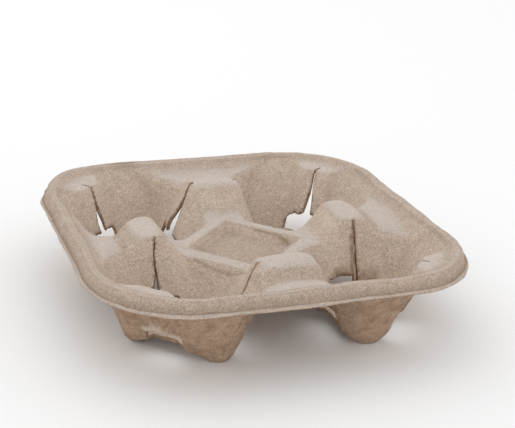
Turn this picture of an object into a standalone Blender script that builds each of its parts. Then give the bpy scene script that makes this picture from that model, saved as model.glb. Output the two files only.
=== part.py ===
# A four-cup carrier pressed from wet paper pulp as one sheet of even thickness.
# Metres, +Z up, origin on the floor under the middle. One eighth of the sheet's upper surface is drawn
# from sections and outlines, mirrored three times, thickened downwards and cut with twelve T-shaped slots.

import math

import bmesh
import bpy
from mathutils import Matrix, Vector

# Overall sizes
WIDTH = 0.210
HEIGHT = 0.0485
CORNER_RADIUS = 0.0526
SHEET = 0.0020
LIP_SHEET = 0.0010

# Rim section, each place as its inset from the lip's edge and its drop below the crest
LIP_DROP = 0.0068
SKIRT_FOOT_INSET = 0.0014
SKIRT_FOOT_DROP = 0.0055
SKIRT_TOP_INSET = 0.0020
SKIRT_TOP_DROP = 0.0030
CREST_OUTER_INSET = 0.0035
CREST_OUTER_DROP = 0.0007
CREST_INSET = 0.0060
SHOULDER_INSET = 0.0093
SHOULDER_DROP = 0.0007
RIM_FOOT_INSET = 0.0170
RIM_FOOT_DROP = 0.0040

# Ledge between the rim and each side's hump
LEDGE_OUTER_INSET = 0.0175
LEDGE_OUTER_DROP = 0.0063
LEDGE_MIDDLE_DROP = 0.0066
LEDGE_INNER_DROP = 0.0110
LEDGE_OUTER_SHARE = 0.297
LEDGE_INNER_FLARE = 0.0016

# Hump in the middle of each side, which keeps two neighbouring cups apart
HUMP_HALF_WIDTH = 0.0154
HUMP_PEAK_DROP = 0.0005
HUMP_OUTER_DROP = 0.0036
HUMP_INNER_DROP = 0.0015
HUMP_EDGE_SAG = 0.0022

# Places on each side's middle line, as shares of the way from the rim's foot in to the ribs
LEDGE_END_SHARE = 0.310
HUMP_OUTER_SHARE = 0.380
HUMP_PEAK_SHARE = 0.605
HUMP_INNER_SHARE = 0.770
DESCENT_SHARE = 0.885

# Ribs round the sunk diamond. The crest's distance from the middle is square to the rib
RIB_CREST_REACH = 0.0260
RIB_INNER_WIDTH = 0.0044
RIB_OUTER_WIDTH = 0.0055
RIB_CREST_HEIGHT = 0.0312
RIB_INNER_HEIGHT = 0.0297
RIB_OUTER_HEIGHT = 0.0302
RIB_STRAIGHT_HALF = 0.0151
JUNCTION_LENGTH = 0.0052
JUNCTION_HALF_WIDTH = 0.0128
JUNCTION_HEIGHT = 0.0332
DIAMOND_FLOOR_HEIGHT = 0.0260
DIAMOND_STEP_WIDTH = 0.0012

# Well mouth. Insets are from the lip's edge, at the corner or at the straight side
CHORD_MOUTH_INSET = 0.0247
CHORD_MOUTH_HALF = 0.0070
CORNER_LEDGE_DROP = 0.0040
LOBE_MOUTH_SIDE_INSET = 0.0388
LOBE_MOUTH_ROUND = 0.0085

# Well section at the level of the slots' bars
BAR_HEIGHT = 0.0165
CHORD_BAR_INSET = 0.0340
CHORD_BAR_HALF = 0.0124
LOBE_BAR_INSET = 0.0234
LOBE_BAR_ROUND = 0.0101
LEG_BAR_STEP_SHARE = 0.081
FLANK_BAR_LEAN = 0.0106
FLANK_BAR_INNER_ROUND = 0.0097
INNER_CORNER_BAR_LEAN = 0.0070

# Well section just above the floor
FOOT_HEIGHT = 0.0095
CHORD_FOOT_INSET = 0.0372
CHORD_FOOT_HALF = 0.0124
LOBE_FOOT_INSET = 0.0266
LOBE_FOOT_ROUND = 0.0084
LEG_FOOT_STEP_SHARE = 0.130
FLANK_FOOT_LEAN = 0.0130
FLANK_FOOT_INNER_ROUND = 0.0090
INNER_CORNER_FOOT_LEAN = 0.0110

# Well floor and leg pockets
WELL_FLOOR_HEIGHT = 0.0085
LEG_FOOT_INSET = 0.0304
LEG_FOOT_LENGTH = 0.0055
LEG_INNER_SLOPE_WIDTH = 0.0045
LEG_MIDDLE_SHARE = 0.47
LEG_HALF_WIDTH_SHARE = 0.135
WELL_MIDDLE_SHARE = 0.48

# Slots
SLIT_TOP_WIDTH = 0.0010
SLIT_FOOT_WIDTH = 0.0030
SLIT_THIN_SHARE = 0.60
CORNER_SLIT_INSET = 0.0202
CORNER_BAR_CUT_BACK = 0.0006
CORNER_BAR_DEPTH = 0.0085
CORNER_BAR_OVERLAP = 0.0004
FLANK_SLIT_CUT_BACK = 0.0006
FLANK_BAR_CUT_BACK = 0.0002
FLANK_BAR_DEPTH = 0.0056
FLANK_BAR_SKEW = 0.0010
FLANK_SLIT_SHARE = 0.61
FLANK_BAR_HALF_SHARE = 0.39
CUT_OVERRUN = 0.0100

# Modelling sizes
EDGE_ROUND = 0.0024
WELD = 0.00001
KEEP_SHARE = 0.02

DIAGONAL = math.sqrt(0.5)

# Reaches worked out from the sizes: distances from the middle, along the diagonal or square to a side
HALF = WIDTH / 2
CORNER_REACH = (HALF - CORNER_RADIUS) / DIAGONAL + CORNER_RADIUS
RIB_INNER_REACH = RIB_CREST_REACH - RIB_INNER_WIDTH
RIB_OUTER_REACH = RIB_CREST_REACH + RIB_OUTER_WIDTH
JUNCTION_REACH = RIB_CREST_REACH / DIAGONAL + JUNCTION_LENGTH
LEDGE_OUTER_REACH = HALF - LEDGE_OUTER_INSET
LOBE_MOUTH_SIDE = HALF - LOBE_MOUTH_SIDE_INSET
FLANK_BAR_REACH = HUMP_HALF_WIDTH + FLANK_BAR_LEAN
FLANK_FOOT_REACH = HUMP_HALF_WIDTH + FLANK_FOOT_LEAN
LEDGE_OUTER_HALF = HUMP_HALF_WIDTH + (LOBE_MOUTH_SIDE - HUMP_HALF_WIDTH) * LEDGE_OUTER_SHARE
LEDGE_INNER_HALF = HUMP_HALF_WIDTH + LEDGE_INNER_FLARE


def clear_scene():
    for item in list(bpy.data.objects):
        bpy.data.objects.remove(item, do_unlink=True)


def mix(start, end, share):
    return start + (end - start) * share


def point(x, y, z):
    return Vector((x, y, z))


# Rim

RIM_SECTION = (
    (0.0, LIP_DROP),
    (SKIRT_FOOT_INSET, SKIRT_FOOT_DROP),
    (SKIRT_TOP_INSET, SKIRT_TOP_DROP),
    (CREST_OUTER_INSET, CREST_OUTER_DROP),
    (CREST_INSET, 0.0),
    (SHOULDER_INSET, SHOULDER_DROP),
    (RIM_FOOT_INSET, RIM_FOOT_DROP),
)


def rim_height(inset):
    """Height of the rim's upper surface at an inset from the lip's edge."""
    for (near, near_drop), (far, far_drop) in zip(RIM_SECTION, RIM_SECTION[1:]):
        if inset <= far:
            return HEIGHT - mix(near_drop, far_drop, (inset - near) / (far - near))
    return HEIGHT - RIM_FOOT_DROP


def rim_place(inset, side, turn):
    """Point of the rim in plan: up its straight side, or at a turn round its corner's arc."""
    straight = HALF - CORNER_RADIUS
    if turn is None:
        return HALF - inset, side
    radius = CORNER_RADIUS - inset
    return straight + radius * math.cos(turn), straight + radius * math.sin(turn)


def rim_point(inset, side, turn):
    x, y = rim_place(inset, side, turn)
    return point(x, y, rim_height(inset))


def inset_of(x, y):
    """Inset from the lip's edge of a place in plan."""
    straight = HALF - CORNER_RADIUS
    if y <= straight:
        return HALF - x
    return CORNER_RADIUS - math.hypot(x - straight, y - straight)


# Outline of the well's mouth, from the corner of the carrier to its middle, in half a well

def diagonal_place(reach, aside):
    """Place in plan at a reach along the diagonal and a distance aside of it, towards +X."""
    return (reach + aside) * DIAGONAL, (reach - aside) * DIAGONAL


def side_reach(share):
    """Distance from the middle at a share of the way from the rim's foot in to the ribs."""
    return mix(LEDGE_OUTER_REACH, JUNCTION_REACH, share)


def corner_mouth():
    """Chord across the corner, then the corner ledge's straight edge."""
    ledge = HEIGHT - CORNER_LEDGE_DROP - EDGE_ROUND / 4
    reach = CORNER_REACH - CHORD_MOUTH_INSET
    chord_end_x, chord_end_y = diagonal_place(reach, CHORD_MOUTH_HALF)
    middle_x, middle_y = diagonal_place(reach, 0.0)
    lobe_x = HALF - SHOULDER_INSET
    rim_x = lobe_x - LOBE_MOUTH_ROUND / 2
    half_x = mix(chord_end_x, rim_x, 0.5)
    return [
        point(middle_x, middle_y, ledge),
        point(mix(middle_x, chord_end_x, 0.6), mix(middle_y, chord_end_y, 0.6), ledge),
        point(chord_end_x + EDGE_ROUND / 2, chord_end_y - EDGE_ROUND / 2, ledge),
        point(half_x, LOBE_MOUTH_SIDE, rim_height(inset_of(half_x, LOBE_MOUTH_SIDE)) - EDGE_ROUND / 6),
        point(rim_x, LOBE_MOUTH_SIDE - LOBE_MOUTH_ROUND / 8,
              rim_height(inset_of(rim_x, LOBE_MOUTH_SIDE)) - EDGE_ROUND / 6),
    ]


def lobe_mouth():
    """Outer edge of the lobe, along the rim's inner shoulder."""
    x = HALF - SHOULDER_INSET
    z = HEIGHT - SHOULDER_DROP - EDGE_ROUND / 6
    far = LOBE_MOUTH_SIDE - LOBE_MOUTH_ROUND
    near = LEDGE_OUTER_HALF + LOBE_MOUTH_ROUND * 0.75
    return [
        point(x - LOBE_MOUTH_ROUND / 12, far, z),
        point(x, mix(far, near, 0.3), z),
        point(x, mix(far, near, 0.68), z),
        point(x - EDGE_ROUND / 2, near, z - EDGE_ROUND / 6),
    ]


def hump_mouth():
    """Ledge side, the hump's edge and the way down to the ribs."""
    ledge_outer = HEIGHT - LEDGE_OUTER_DROP
    ledge_inner = HEIGHT - LEDGE_INNER_DROP
    edge = HEIGHT - HUMP_PEAK_DROP - HUMP_EDGE_SAG
    inner = HEIGHT - HUMP_INNER_DROP - HUMP_EDGE_SAG
    width = HUMP_HALF_WIDTH
    neck = JUNCTION_HALF_WIDTH
    return [
        point(LEDGE_OUTER_REACH + SHEET, LEDGE_OUTER_HALF, ledge_outer + SHEET / 2),
        point(side_reach(LEDGE_END_SHARE / 4), mix(LEDGE_OUTER_HALF, LEDGE_INNER_HALF, 0.55),
              mix(ledge_outer, ledge_inner, 0.55)),
        point(side_reach(LEDGE_END_SHARE) + SHEET, LEDGE_INNER_HALF, ledge_inner - EDGE_ROUND / 6),
        point(side_reach(HUMP_OUTER_SHARE), width, mix(ledge_inner, edge, 0.35)),
        point(side_reach(mix(HUMP_OUTER_SHARE, HUMP_PEAK_SHARE, 0.5)), width, mix(ledge_inner, edge, 0.88)),
        point(side_reach(HUMP_PEAK_SHARE) - EDGE_ROUND / 4, width, edge),
        point(side_reach(HUMP_INNER_SHARE), mix(width, neck, 0.2), inner),
        point(side_reach(DESCENT_SHARE), mix(width, neck, 0.6), mix(inner, JUNCTION_HEIGHT, 0.5)),
        point(JUNCTION_REACH - EDGE_ROUND / 2, neck, JUNCTION_HEIGHT - EDGE_ROUND / 3),
    ]


def rib_mouth():
    """Outer edge of the rib, back to the diagonal."""
    places = [diagonal_place(RIB_OUTER_REACH + lift, aside) for lift, aside in (
        (EDGE_ROUND / 2, RIB_STRAIGHT_HALF), (0.0, RIB_STRAIGHT_HALF / 2), (0.0, 0.0))]
    return [point(x, y, RIB_OUTER_HEIGHT) for x, y in places]


def well_section(height, chord, chord_half, lobe, near, far, flank, outer, inner, corner):
    """The well's section at a height, point for point with the mouth, from the corner to the middle."""
    chord_x, chord_y = diagonal_place(chord, chord_half)
    middle_x, middle_y = diagonal_place(chord, 0.0)
    corner_x, corner_y = diagonal_place(corner, 0.0)
    side = far - near
    run = outer - inner
    places = [
        (middle_x, middle_y),
        (mix(middle_x, chord_x, 0.6), mix(middle_y, chord_y, 0.6)),
        (chord_x, chord_y),
        (mix(chord_x, lobe, 0.36), far - side * 0.02),
        (mix(chord_x, lobe, 0.66), far - side * 0.14),
        (mix(chord_x, lobe, 0.92), far - side * 0.32),
        (lobe, far - side * 0.51),
        (lobe, far - side * 0.71),
        (mix(outer, lobe, 0.86), near + side * 0.10),
        (mix(outer, lobe, 0.62), near),
        (mix(outer, lobe, 0.42), mix(flank, near, 0.72)),
        (mix(outer, lobe, 0.20), mix(flank, near, 0.38)),
        (outer - run * 0.03, mix(flank, near, 0.15)),
        (outer - run * 0.18, flank),
        (outer - run * 0.39, flank),
        (outer - run * 0.60, flank),
        (outer - run * 0.80, flank),
        (inner, flank),
        (mix(inner, corner_x, 0.45), mix(flank, corner_y, 0.12)),
        (mix(inner, corner_x, 0.82), mix(flank, corner_y, 0.52)),
        (corner_x, corner_y),
    ]
    return [point(x, y, height) for x, y in places]


def section_sizes(chord_inset, chord_half, lobe_inset, lobe_round, step_share, flank, inner_round, corner_lean):
    """Reaches of the well's section, from the sizes that set them."""
    chord = CORNER_REACH - chord_inset
    chord_side = diagonal_place(chord, chord_half)[1]
    lobe = HALF - lobe_inset
    corner = RIB_OUTER_REACH + corner_lean
    inner = corner * DIAGONAL + inner_round
    near = mix(flank, chord_side, step_share)
    return chord, chord_half, lobe, near, chord_side, flank, lobe - lobe_round, inner, corner


BAR_SIZES = section_sizes(
    CHORD_BAR_INSET, CHORD_BAR_HALF, LOBE_BAR_INSET, LOBE_BAR_ROUND, LEG_BAR_STEP_SHARE,
    FLANK_BAR_REACH, FLANK_BAR_INNER_ROUND, INNER_CORNER_BAR_LEAN)
FOOT_SIZES = section_sizes(
    CHORD_FOOT_INSET, CHORD_FOOT_HALF, LOBE_FOOT_INSET, LOBE_FOOT_ROUND, LEG_FOOT_STEP_SHARE,
    FLANK_FOOT_REACH, FLANK_FOOT_INNER_ROUND, INNER_CORNER_FOOT_LEAN)


def mouth_outline():
    return corner_mouth() + lobe_mouth() + hump_mouth() + rib_mouth()


# Column numbers of the mouth where the sheet's other faces begin, and the rows across half a hump
LOBE_END = 8
RIB_START = 18
HUMP_ROW_SHARES = (0.16, 0.5, 1.0)

# Share of the leg's depth that each column of the well reaches, from the corner's chord to the flank
LEG_DEPTH_SHARES = (0.0, 0.0, 0.0, 0.30, 0.68, 1.0, 1.0, 1.0, 0.68, 0.30, 0.0, 0.0)
LEG_ACROSS_SHARES = (0.0, 0.0, 2.8, 2.6, 1.9, 1.0, 0.0, -1.0, -1.9, -2.6, -2.8, 0.0)


def well_column(index, middle, mouth, bar, foot):
    """Upper surface from the mouth's edge down the wall, into the leg if there is one, and in to the floor."""
    edge = mouth + (bar - mouth).normalized() * EDGE_ROUND
    inward = (middle - foot).normalized()
    toe = foot + inward * (SHEET / 2)
    toe.z = WELL_FLOOR_HEIGHT
    heel = toe + inward * (SHEET / 2)
    floor_edge = heel + inward * (SHEET / 2)
    share = LEG_DEPTH_SHARES[index] if index < len(LEG_DEPTH_SHARES) else 0.0
    if share > 0.0:
        near, far = FOOT_SIZES[3:5]
        half_width = (far - near) * LEG_HALF_WIDTH_SHARE
        across = LEG_ACROSS_SHARES[index]
        reach = HALF - LEG_FOOT_INSET - half_width * across * across * 0.15
        side = mix(near, far, LEG_MIDDLE_SHARE) + half_width * across
        low = mix(WELL_FLOOR_HEIGHT, SHEET, share)
        toe = point(mix(toe.x, reach, share), mix(toe.y, side, share), low)
        heel = toe + inward * mix(SHEET / 2, LEG_FOOT_LENGTH, share)
        floor_edge = heel + inward * mix(SHEET / 2, LEG_INNER_SLOPE_WIDTH, share)
        floor_edge.z = WELL_FLOOR_HEIGHT
    return [mouth, edge, mouth.lerp(bar, 0.5), bar, foot, toe, heel, floor_edge]


def outer_column(index, mouth):
    """From the mouth's edge over the crest of the rim to the lip."""
    straight = HALF - CORNER_RADIUS
    inset = inset_of(mouth.x, mouth.y)
    turn = None
    if mouth.y > straight:
        turn = math.atan2(mouth.y - straight, mouth.x - straight)
    foot = min(RIM_FOOT_INSET, mix(inset, CREST_INSET, 0.5))
    shoulder = min(SHOULDER_INSET, mix(inset, CREST_INSET, 0.75))
    edge = mix(inset, foot, 0.4) if inset > RIM_FOOT_INSET else mix(inset, CREST_INSET, 0.25)
    insets = [edge, foot, shoulder, CREST_INSET, CREST_OUTER_INSET, SKIRT_TOP_INSET, SKIRT_FOOT_INSET, 0.0]
    return [mouth] + [rim_point(item, mouth.y, turn) for item in insets]


def side_rim_column(share, first):
    """The rim's section beside the ledge, at a share of the way from the ledge's end to the middle."""
    side = first[0].y * (1.0 - share)
    return [rim_point(inset_of(item.x, item.y), side, None) for item in first]


def hump_middle_line():
    """Heights along each side's middle line, from the rim's foot in to the junction of the ribs."""
    peak = HEIGHT - HUMP_PEAK_DROP
    inner = HEIGHT - HUMP_INNER_DROP
    outer = HEIGHT - HUMP_OUTER_DROP
    ledge_outer = HEIGHT - LEDGE_OUTER_DROP
    ledge_inner = HEIGHT - LEDGE_MIDDLE_DROP
    return [
        point(LEDGE_OUTER_REACH, 0.0, ledge_outer),
        point(side_reach(LEDGE_END_SHARE / 2), 0.0, mix(ledge_outer, ledge_inner, 0.7)),
        point(side_reach(LEDGE_END_SHARE), 0.0, ledge_inner),
        point(side_reach(HUMP_OUTER_SHARE), 0.0, outer),
        point(side_reach(mix(HUMP_OUTER_SHARE, HUMP_PEAK_SHARE, 0.5)), 0.0, mix(outer, peak, 0.75)),
        point(side_reach(HUMP_PEAK_SHARE), 0.0, peak),
        point(side_reach(HUMP_INNER_SHARE), 0.0, inner),
        point(side_reach(DESCENT_SHARE), 0.0, mix(inner, JUNCTION_HEIGHT, 0.5)),
        point(JUNCTION_REACH, 0.0, JUNCTION_HEIGHT),
    ]


def hump_row(mouth, middle):
    """Across half a hump, from the well's edge to the middle line."""
    edge_share, crown_share, middle_share = HUMP_ROW_SHARES
    edge = mouth.lerp(middle, edge_share)
    edge.z = mix(mouth.z, middle.z, 0.55)
    crown = mouth.lerp(middle, crown_share)
    crown.z = mix(mouth.z, middle.z, 0.86)
    return [mouth, edge, crown, middle]


def rib_row(mouth, aside):
    crest_x, crest_y = diagonal_place(RIB_CREST_REACH, aside)
    inner_x, inner_y = diagonal_place(RIB_INNER_REACH, aside)
    crest = point(crest_x, crest_y, RIB_CREST_HEIGHT)
    shoulder = mouth.lerp(crest, 0.45)
    shoulder.z = mix(mouth.z, crest.z, 0.6)
    return [mouth, shoulder, crest, point(inner_x, inner_y, RIB_INNER_HEIGHT)]


# Sheet

def add_face(mesh, corners):
    verts = [mesh.verts.new(item) for item in corners]
    mesh.faces.new(verts)


def add_grid(mesh, rows):
    """Quads between rows of points of equal length."""
    for row, following in zip(rows, rows[1:]):
        for index in range(len(row) - 1):
            add_face(mesh, (row[index], row[index + 1], following[index + 1], following[index]))


def add_well(mesh, mouth):
    bar = well_section(BAR_HEIGHT, *BAR_SIZES)
    foot = well_section(FOOT_HEIGHT, *FOOT_SIZES)
    middle = foot[-1].lerp(foot[0], WELL_MIDDLE_SHARE)
    columns = [well_column(index, middle, *places) for index, places in enumerate(zip(mouth, bar, foot))]
    add_grid(mesh, columns)
    floor = [column[-1] for column in columns]
    add_face(mesh, list(reversed(floor)))


def add_rim(mesh, mouth):
    columns = [outer_column(index, item) for index, item in enumerate(mouth[:LOBE_END + 1])]
    add_grid(mesh, [list(reversed(column)) for column in columns])
    last = columns[-1]
    sides = [last] + [side_rim_column(share, last) for share in HUMP_ROW_SHARES]
    add_grid(mesh, [list(reversed(column)) for column in sides])
    return [column[0] for column in sides]


def add_hump(mesh, mouth, rim_edge):
    middle = hump_middle_line()
    rows = [rim_edge]
    for item, centre in zip(mouth[LOBE_END + 1:RIB_START], middle):
        rows.append(hump_row(item, centre))
    add_grid(mesh, [list(reversed(row)) for row in rows])
    return rows[-1]


def add_ribs(mesh, mouth, junction):
    asides = (RIB_STRAIGHT_HALF, RIB_STRAIGHT_HALF / 2, 0.0)
    rows = [rib_row(item, aside) for item, aside in zip(mouth[RIB_START:], asides)]
    add_grid(mesh, [list(reversed(row)) for row in rows])
    first = rows[0]
    crest_corner = point(RIB_CREST_REACH / DIAGONAL, 0.0, RIB_CREST_HEIGHT)
    inner_corner = point(RIB_INNER_REACH / DIAGONAL, 0.0, RIB_INNER_HEIGHT)
    add_grid(mesh, [list(reversed(junction[:3])), list(reversed(first[:3]))])
    add_face(mesh, (junction[3], junction[2], first[2], crest_corner))
    add_face(mesh, (crest_corner, first[2], first[3], inner_corner))
    edge = [inner_corner] + [row[3] for row in rows]
    share = (RIB_INNER_REACH - DIAMOND_STEP_WIDTH) / RIB_INNER_REACH
    step = [point(item.x * share, item.y * share, DIAMOND_FLOOR_HEIGHT) for item in edge]
    add_grid(mesh, [step, edge])
    add_face(mesh, [point(0.0, 0.0, DIAMOND_FLOOR_HEIGHT)] + step)


def build_sheet():
    """Upper surface of the carrier, whole, with its faces up."""
    mesh = bmesh.new()
    mouth = mouth_outline()
    add_well(mesh, mouth)
    rim_edge = add_rim(mesh, mouth)
    junction = add_hump(mesh, mouth, rim_edge)
    add_ribs(mesh, mouth, junction)
    bmesh.ops.remove_doubles(mesh, verts=mesh.verts, dist=WELD)
    for swap in ("diagonal", "x", "y"):
        copy = bmesh.ops.duplicate(mesh, geom=mesh.verts[:] + mesh.edges[:] + mesh.faces[:])
        for vert in (item for item in copy["geom"] if isinstance(item, bmesh.types.BMVert)):
            x, y, z = vert.co
            vert.co = {"diagonal": (y, x, z), "x": (-x, y, z), "y": (x, -y, z)}[swap]
        bmesh.ops.remove_doubles(mesh, verts=mesh.verts, dist=WELD)
    bmesh.ops.recalc_face_normals(mesh, faces=mesh.faces)
    if sum(face.normal.z for face in mesh.faces) < 0:
        bmesh.ops.reverse_faces(mesh, faces=mesh.faces)
    return mesh


def under_point(vert):
    """Place under a point of the upper surface that keeps the sheet's thickness square to its faces."""
    square = Matrix.Diagonal((KEEP_SHARE, KEEP_SHARE, KEEP_SHARE))
    aim = -vert.normal * KEEP_SHARE
    for face in vert.link_faces:
        weight = 1.0 / len(vert.link_faces)
        normal = face.normal
        square = square + Matrix([normal * (weight * normal[row]) for row in range(3)])
        aim = aim - normal * weight
    thickness = LIP_SHEET if vert.is_boundary else SHEET
    return vert.co + square.inverted() @ aim * thickness


def thicken(mesh):
    """Close the sheet with its underside and the lip's edge. The legs' feet stand flat on the floor."""
    mesh.normal_update()
    upper = mesh.faces[:]
    rim = [edge for edge in mesh.edges if edge.is_boundary]
    under = {vert: mesh.verts.new(under_point(vert)) for vert in mesh.verts[:]}
    for vert, below in under.items():
        if vert.co.z < SHEET + WELD:
            below.co.z = 0.0
    for face in upper:
        mesh.faces.new([under[vert] for vert in reversed(face.verts)])
    for edge in rim:
        loop = edge.link_loops[0]
        start, end = loop.vert, loop.link_loop_next.vert
        mesh.faces.new([end, start, under[start], under[end]])


def sheet_object(name):
    data = bpy.data.meshes.new(name)
    mesh = build_sheet()
    thicken(mesh)
    mesh.to_mesh(data)
    mesh.free()
    item = bpy.data.objects.new(name, data)
    bpy.context.scene.collection.objects.link(item)
    return item


# Slots

def slot_outline(slit_end, wall_edge, floor_edge, half_width, skew):
    """T in plan, pointing along +X: the slit's end, then the bar's four corners, and back."""
    top = SLIT_TOP_WIDTH / 2
    foot = SLIT_FOOT_WIDTH / 2
    thin = mix(slit_end, wall_edge, SLIT_THIN_SHARE)
    return [
        (slit_end, -top),
        (slit_end, top),
        (thin, top),
        (wall_edge, foot),
        (wall_edge, half_width + skew),
        (floor_edge, half_width + skew),
        (floor_edge, -half_width + skew),
        (wall_edge, -half_width + skew),
        (wall_edge, -foot),
        (thin, -top),
    ]


def add_cutter(mesh, outline, place):
    low = -CUT_OVERRUN
    high = HEIGHT + CUT_OVERRUN
    rings = [[mesh.verts.new((*place(x, y), z)) for x, y in outline] for z in (low, high)]
    count = len(outline)
    faces = [rings[0], rings[1]]
    for index in range(count):
        after = (index + 1) % count
        faces.append([rings[0][index], rings[0][after], rings[1][after], rings[1][index]])
    for corners in faces:
        mesh.faces.new(corners)


def corner_slot():
    """Slot down the corner's chord, its bar cut out of the foot of the wall and the floor."""
    bar_outer = CORNER_REACH - CHORD_BAR_INSET + CORNER_BAR_CUT_BACK
    return slot_outline(CORNER_REACH - CORNER_SLIT_INSET, bar_outer, bar_outer - CORNER_BAR_DEPTH,
                        CHORD_BAR_HALF + CORNER_BAR_OVERLAP, 0.0)


def flank_slot():
    """Slot down a flank, drawn at the middle of the flank with its slit pointing at the hump."""
    bar_wall = FLANK_BAR_REACH + FLANK_BAR_CUT_BACK
    outer, inner = BAR_SIZES[6:8]
    return slot_outline(-HUMP_HALF_WIDTH - FLANK_SLIT_CUT_BACK, -bar_wall, -bar_wall - FLANK_BAR_DEPTH,
                        (outer - inner) * FLANK_BAR_HALF_SHARE, -FLANK_BAR_SKEW)


def cutter_object():
    mesh = bmesh.new()
    corner = corner_slot()
    flank = flank_slot()
    outer, inner = BAR_SIZES[6:8]
    reach = mix(inner, outer, FLANK_SLIT_SHARE)
    for side_x in (1, -1):
        for side_y in (1, -1):
            add_cutter(mesh, corner, lambda x, y: (side_x * (x + y) * DIAGONAL, side_y * (x - y) * DIAGONAL))
            add_cutter(mesh, flank, lambda x, y: (side_x * (reach + y), -side_y * x))
            add_cutter(mesh, flank, lambda x, y: (-side_x * x, side_y * (reach + y)))
    bmesh.ops.recalc_face_normals(mesh, faces=mesh.faces)
    data = bpy.data.meshes.new("slot_cutter")
    mesh.to_mesh(data)
    mesh.free()
    item = bpy.data.objects.new("slot_cutter", data)
    bpy.context.scene.collection.objects.link(item)
    item.hide_render = True
    item.display_type = "WIRE"
    return item


def cut_slots(item):
    modifier = item.modifiers.new("slots", "BOOLEAN")
    modifier.operation = "DIFFERENCE"
    modifier.solver = "EXACT"
    modifier.object = cutter_object()


# Material

def pulp_material():
    material = bpy.data.materials.new("moulded_pulp")
    material.use_nodes = True
    shader = material.node_tree.nodes["Principled BSDF"]
    shader.inputs["Base Color"].default_value = (0.42, 0.33, 0.27, 1.0)
    shader.inputs["Roughness"].default_value = 0.95
    shader.inputs["Metallic"].default_value = 0.0
    return material


def main():
    clear_scene()
    carrier = sheet_object("cup_carrier")
    cut_slots(carrier)
    carrier.data.materials.append(pulp_material())


main()
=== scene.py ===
import math
from collections import namedtuple

import bmesh
import bpy
import numpy as np
from mathutils import Matrix, Vector, kdtree, noise
from mathutils.bvhtree import BVHTree


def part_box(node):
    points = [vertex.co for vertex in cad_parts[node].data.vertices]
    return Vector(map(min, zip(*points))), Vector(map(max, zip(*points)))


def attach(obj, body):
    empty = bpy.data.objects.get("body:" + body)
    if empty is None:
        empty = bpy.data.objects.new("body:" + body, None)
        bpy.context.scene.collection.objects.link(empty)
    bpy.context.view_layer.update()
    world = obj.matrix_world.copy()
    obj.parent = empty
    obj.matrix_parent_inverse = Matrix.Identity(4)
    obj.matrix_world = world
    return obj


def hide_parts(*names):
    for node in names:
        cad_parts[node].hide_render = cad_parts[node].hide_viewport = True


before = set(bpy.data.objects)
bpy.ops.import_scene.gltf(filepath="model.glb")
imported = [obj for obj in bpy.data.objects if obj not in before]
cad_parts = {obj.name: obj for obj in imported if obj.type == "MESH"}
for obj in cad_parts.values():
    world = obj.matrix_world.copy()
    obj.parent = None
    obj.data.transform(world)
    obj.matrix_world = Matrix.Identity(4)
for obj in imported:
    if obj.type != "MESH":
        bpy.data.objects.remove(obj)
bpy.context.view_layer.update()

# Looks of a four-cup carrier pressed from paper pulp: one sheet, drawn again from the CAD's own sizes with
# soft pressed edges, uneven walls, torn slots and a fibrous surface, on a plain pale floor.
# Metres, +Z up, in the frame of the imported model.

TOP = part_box("cup_carrier")[1]
HALF = TOP.x
HEIGHT = TOP.z

MM = 0.001
DIAGONAL = math.sqrt(0.5)

# Sheet
SHEET = 2 * MM
LIP_SHEET = 1.1 * MM
CORNER_RADIUS = 52.6 * MM
WELD = 0.01 * MM
SURFACE_LEVELS = 2
FIT_ROUNDS = 4
FIT_SHARE = 0.8
FIRM_HOLD = 0.9
SOFT_HOLD = 0.0
CRISP_HOLD = 0.75
MOUTH_HOLD_REACH = 0.3 * MM
CRISP_START = 11

# Rim section: inset from the lip's edge, and drop below the crest
RIM_SECTION = [(inset * MM, drop * MM) for inset, drop in (
    (0, 6.8), (0.9, 5.6), (2.3, 4.9), (2.7, 3.1), (3.7, 0.9), (6, 0), (9.3, 0.7), (17, 4))]
CREST_ROW = 5
CREST_INSET = RIM_SECTION[CREST_ROW][0]
SHOULDER_INSET, SHOULDER_DROP = RIM_SECTION[CREST_ROW + 1]
RIM_FOOT_INSET, RIM_FOOT_DROP = RIM_SECTION[CREST_ROW + 2]

# Ledge beside the rim, hump in the middle of each side, and the ribs round the diamond
LEDGE_REACH = HALF - 17.5 * MM
LEDGE_OUTER_DROP = 6.3 * MM
LEDGE_MIDDLE_DROP = 6.6 * MM
LEDGE_INNER_DROP = 11 * MM
LEDGE_OUTER_HALF = 30.5 * MM
LEDGE_INNER_HALF = 17 * MM
HUMP_HALF_WIDTH = 15.4 * MM
HUMP_PEAK_DROP = 0.5 * MM
HUMP_OUTER_DROP = 3.6 * MM
HUMP_INNER_DROP = 1.5 * MM
HUMP_EDGE_SAG = 2.2 * MM
JUNCTION_REACH = 42 * MM
JUNCTION_HALF_WIDTH = 12.8 * MM
JUNCTION_HEIGHT = 33.2 * MM
RIB_INNER_REACH = 21.6 * MM
RIB_CREST_REACH = 26 * MM
RIB_OUTER_REACH = 31.5 * MM
RIB_CREST_HEIGHT = 31.2 * MM
RIB_INNER_HEIGHT = 29.7 * MM
RIB_OUTER_HEIGHT = 30.2 * MM
RIB_STRAIGHT_HALF = 15.1 * MM
DIAMOND_FLOOR_HEIGHT = 26 * MM
DIAMOND_STEP_WIDTH = 1.2 * MM

# Places along a side's middle line, as shares of the way from the rim's foot in to the ribs
LEDGE_END_SHARE = 0.310
HUMP_OUTER_SHARE = 0.380
HUMP_PEAK_SHARE = 0.605
HUMP_INNER_SHARE = 0.770
DESCENT_SHARE = 0.885
HUMP_ROW_SHARES = (0.16, 0.5, 1.0)
LEDGE_LINE_SHARE = 0.7
HUMP_LINE_SHARE = 0.75

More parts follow.
